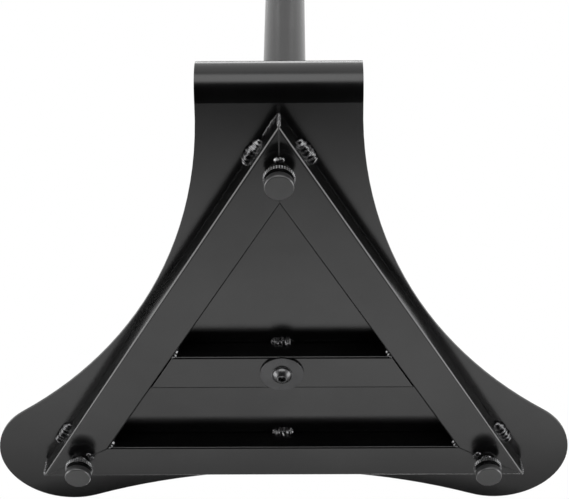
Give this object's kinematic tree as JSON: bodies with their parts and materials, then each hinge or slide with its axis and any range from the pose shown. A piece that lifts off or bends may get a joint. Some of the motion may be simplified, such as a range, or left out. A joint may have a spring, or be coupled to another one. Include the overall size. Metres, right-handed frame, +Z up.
{
  "type": "studio monitor stand",
  "caption": "Loudspeaker stand with a flared base plate rolled at one end on a welded tube frame, levelling feet, a telescoping clamped column and a padded platform.",
  "frame": {"origin": "on the floor under the middle of the base", "axes": "+Z up along the column, +Y to the back where the base's rolled end is, +X to the right"},
  "size_m": [0.432, 0.3806, 0.8975],
  "materials": {
    "powder_coat": "satin black powder coat on steel",
    "black_steel": "black zinc plated steel",
    "plain_steel": "turned steel",
    "cast_collar": "black painted die-cast aluminium",
    "brass": "turned brass",
    "knob_plastic": "black plastic",
    "guide_plastic": "natural nylon",
    "pad_plastic": "black plastic",
    "strip_rubber": "black rubber"
  },
  "bodies": {
    "base": {"base_plate": "powder_coat", "frame_bar_front": "powder_coat", "frame_bar_left": "powder_coat", "frame_bar_right": "powder_coat", "frame_cross_bar": "powder_coat", "weld_beads": "powder_coat", "foot_bush_back": "plain_steel", "foot_bush_left": "plain_steel", "foot_bush_right": "plain_steel", "column_bolt": "black_steel", "column_washer": "black_steel", "column_spring_washer": "black_steel", "column_plug": "plain_steel", "column_tube": "powder_coat", "clamp_collar": "cast_collar", "clamp_insert": "brass", "collar_set_screws": "black_steel"},
    "guide": {"guide_ring": "guide_plastic"},
    "mast": {"inner_tube": "powder_coat", "inner_end_plug": "plain_steel", "platform_hub": "powder_coat", "platform_plate": "powder_coat", "platform_screws": "black_steel", "platform_strip_1": "strip_rubber", "platform_strip_2": "strip_rubber", "platform_strip_3": "strip_rubber", "platform_strip_4": "strip_rubber"},
    "shoe": {"clamp_shoe": "brass"},
    "knob": {"clamp_screw": "black_steel", "clamp_knob": "knob_plastic"},
    "foot_pad_back": {"foot_pad_back": "pad_plastic"},
    "foot_screw_back": {"foot_screw_back": "black_steel"},
    "foot_pad_left": {"foot_pad_left": "pad_plastic"},
    "foot_screw_left": {"foot_screw_left": "black_steel"},
    "foot_pad_right": {"foot_pad_right": "pad_plastic"},
    "foot_screw_right": {"foot_screw_right": "black_steel"}
  },
  "joints": [
    {"name": "height", "type": "slide", "parent": "base", "child": "guide", "axis": [0, 0, 1], "range_m": [0, 0.425]},
    {"name": "swivel", "type": "hinge", "parent": "guide", "child": "mast", "pos_m": [0, -0.04161, 0.5], "axis": [0, 0, 1], "range_deg": [-180, 180]},
    {"name": "clamp_press", "type": "slide", "parent": "base", "child": "shoe", "axis": [0, 1, 0], "range_m": [0, 0.0025]},
    {"name": "clamp_turn", "type": "hinge", "parent": "shoe", "child": "knob", "pos_m": [0, -0.04161, 0.806], "axis": [0, 1, 0], "range_deg": [-1, 721]},
    {"name": "foot_back_lift", "type": "slide", "parent": "base", "child": "foot_pad_back", "axis": [0, 0, 1], "range_m": [-0.0045, 0.0055]},
    {"name": "foot_back_turn", "type": "hinge", "parent": "foot_pad_back", "child": "foot_screw_back", "pos_m": [0, 0.13262, 0.01], "axis": [0, 0, 1], "range_deg": [-1300, 1588]},
    {"name": "foot_left_lift", "type": "slide", "parent": "base", "child": "foot_pad_left", "axis": [0, 0, 1], "range_m": [-0.0045, 0.0055]},
    {"name": "foot_left_turn", "type": "hinge", "parent": "foot_pad_left", "child": "foot_screw_left", "pos_m": [-0.15201, -0.13067, 0.01], "axis": [0, 0, 1], "range_deg": [-1300, 1588]},
    {"name": "foot_right_lift", "type": "slide", "parent": "base", "child": "foot_pad_right", "axis": [0, 0, 1], "range_m": [-0.0045, 0.0055]},
    {"name": "foot_right_turn", "type": "hinge", "parent": "foot_pad_right", "child": "foot_screw_right", "pos_m": [0.15201, -0.13067, 0.01], "axis": [0, 0, 1], "range_deg": [-1300, 1588]}
  ],
  "couplings": [
    {"joint": "clamp_turn", "follows": "clamp_press", "rad_per_m": 5026.5},
    {"joint": "foot_back_turn", "follows": "foot_back_lift", "rad_per_m": 5026.5},
    {"joint": "foot_left_turn", "follows": "foot_left_lift", "rad_per_m": 5026.5},
    {"joint": "foot_right_turn", "follows": "foot_right_lift", "rad_per_m": 5026.5}
  ]
}
